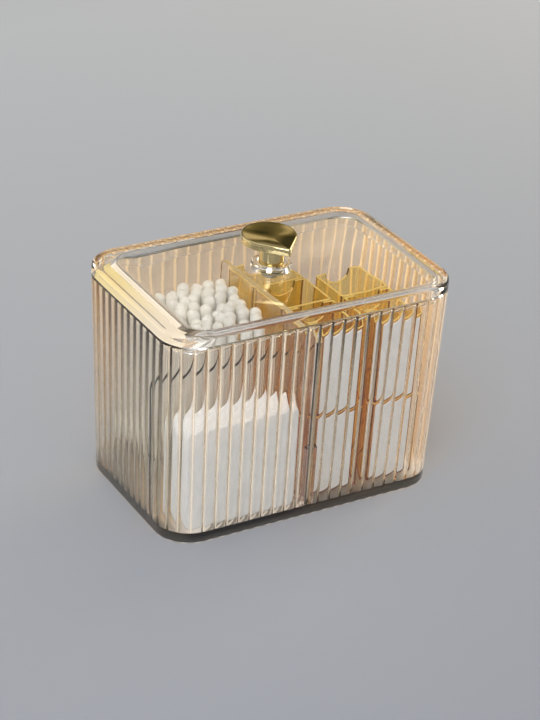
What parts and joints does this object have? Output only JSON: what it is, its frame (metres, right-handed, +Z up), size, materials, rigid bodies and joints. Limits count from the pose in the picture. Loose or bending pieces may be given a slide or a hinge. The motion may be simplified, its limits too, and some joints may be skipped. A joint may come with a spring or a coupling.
{
  "type": "cotton pad holder",
  "caption": "Clear fluted box with a lift-off lid and gold leaf knob, inner dividers, cotton pads, swabs and small amber bins.",
  "frame": {"origin": "centre of the underside, on the surface the box stands on", "axes": "+X along the length with the bins at +X, -Y the front wall, +Z up"},
  "size_m": [0.145, 0.095, 0.1211],
  "materials": {
    "clear_plastic": "clear with a light champagne tint, polished",
    "lid_plastic": "clear, polished",
    "divider_plastic": "clear, polished",
    "amber_plastic": "clear amber, polished",
    "gold_plating": "polished pale gold plating",
    "steel": "plain zinc-plated steel",
    "cotton_pad": "soft pressed cotton",
    "swab_cotton": "wound cotton heads on paper sticks",
    "pale_label": "smooth pale label, left blank"
  },
  "bodies": {
    "case": {"case": "clear_plastic", "cotton_pads": "cotton_pad", "cotton_swabs": "swab_cotton", "bin_left_back_lower": "amber_plastic", "bin_left_middle_lower": "amber_plastic", "bin_left_front_lower": "amber_plastic", "bin_right_back_lower": "amber_plastic", "bin_right_middle_lower": "amber_plastic", "bin_right_front_lower": "amber_plastic", "bin_label_left_lower": "pale_label", "bin_label_right_lower": "pale_label"},
    "lid": {"lid": "lid_plastic", "knob_stem": "gold_plating", "knob_cap": "gold_plating", "knob_washer": "steel", "knob_screw": "steel"},
    "cross_divider": {"cross_divider": "divider_plastic"},
    "pad_divider": {"pad_divider": "divider_plastic"},
    "bin_left_back": {"bin_left_back_upper": "amber_plastic"},
    "bin_left_middle": {"bin_left_middle_upper": "amber_plastic"},
    "bin_left_front": {"bin_left_front_upper": "amber_plastic", "bin_label_left_upper": "pale_label"},
    "bin_right_middle": {"bin_right_middle_upper": "amber_plastic"},
    "bin_right_front": {"bin_right_front_upper": "amber_plastic", "bin_label_right_upper": "pale_label"}
  },
  "joints": [
    {"name": "lid_lift", "type": "slide", "parent": "case", "child": "lid", "axis": [0, 0, 1], "range_m": [0, 0.06]},
    {"name": "cross_divider_lift", "type": "slide", "parent": "case", "child": "cross_divider", "axis": [0, 0, 1], "range_m": [0, 0.005]},
    {"name": "pad_divider_lift", "type": "slide", "parent": "case", "child": "pad_divider", "axis": [0, 0, 1], "range_m": [0, 0.02]},
    {"name": "bin_left_back_lift", "type": "slide", "parent": "case", "child": "bin_left_back", "axis": [0, 0, 1], "range_m": [0, 0.012]},
    {"name": "bin_left_middle_lift", "type": "slide", "parent": "case", "child": "bin_left_middle", "axis": [0, 0, 1], "range_m": [0, 0.012]},
    {"name": "bin_left_front_lift", "type": "slide", "parent": "case", "child": "bin_left_front", "axis": [0, 0, 1], "range_m": [0, 0.012]},
    {"name": "bin_right_middle_lift", "type": "slide", "parent": "case", "child": "bin_right_middle", "axis": [0, 0, 1], "range_m": [0, 0.012]},
    {"name": "bin_right_front_lift", "type": "slide", "parent": "case", "child": "bin_right_front", "axis": [0, 0, 1], "range_m": [0, 0.012]}
  ]
}
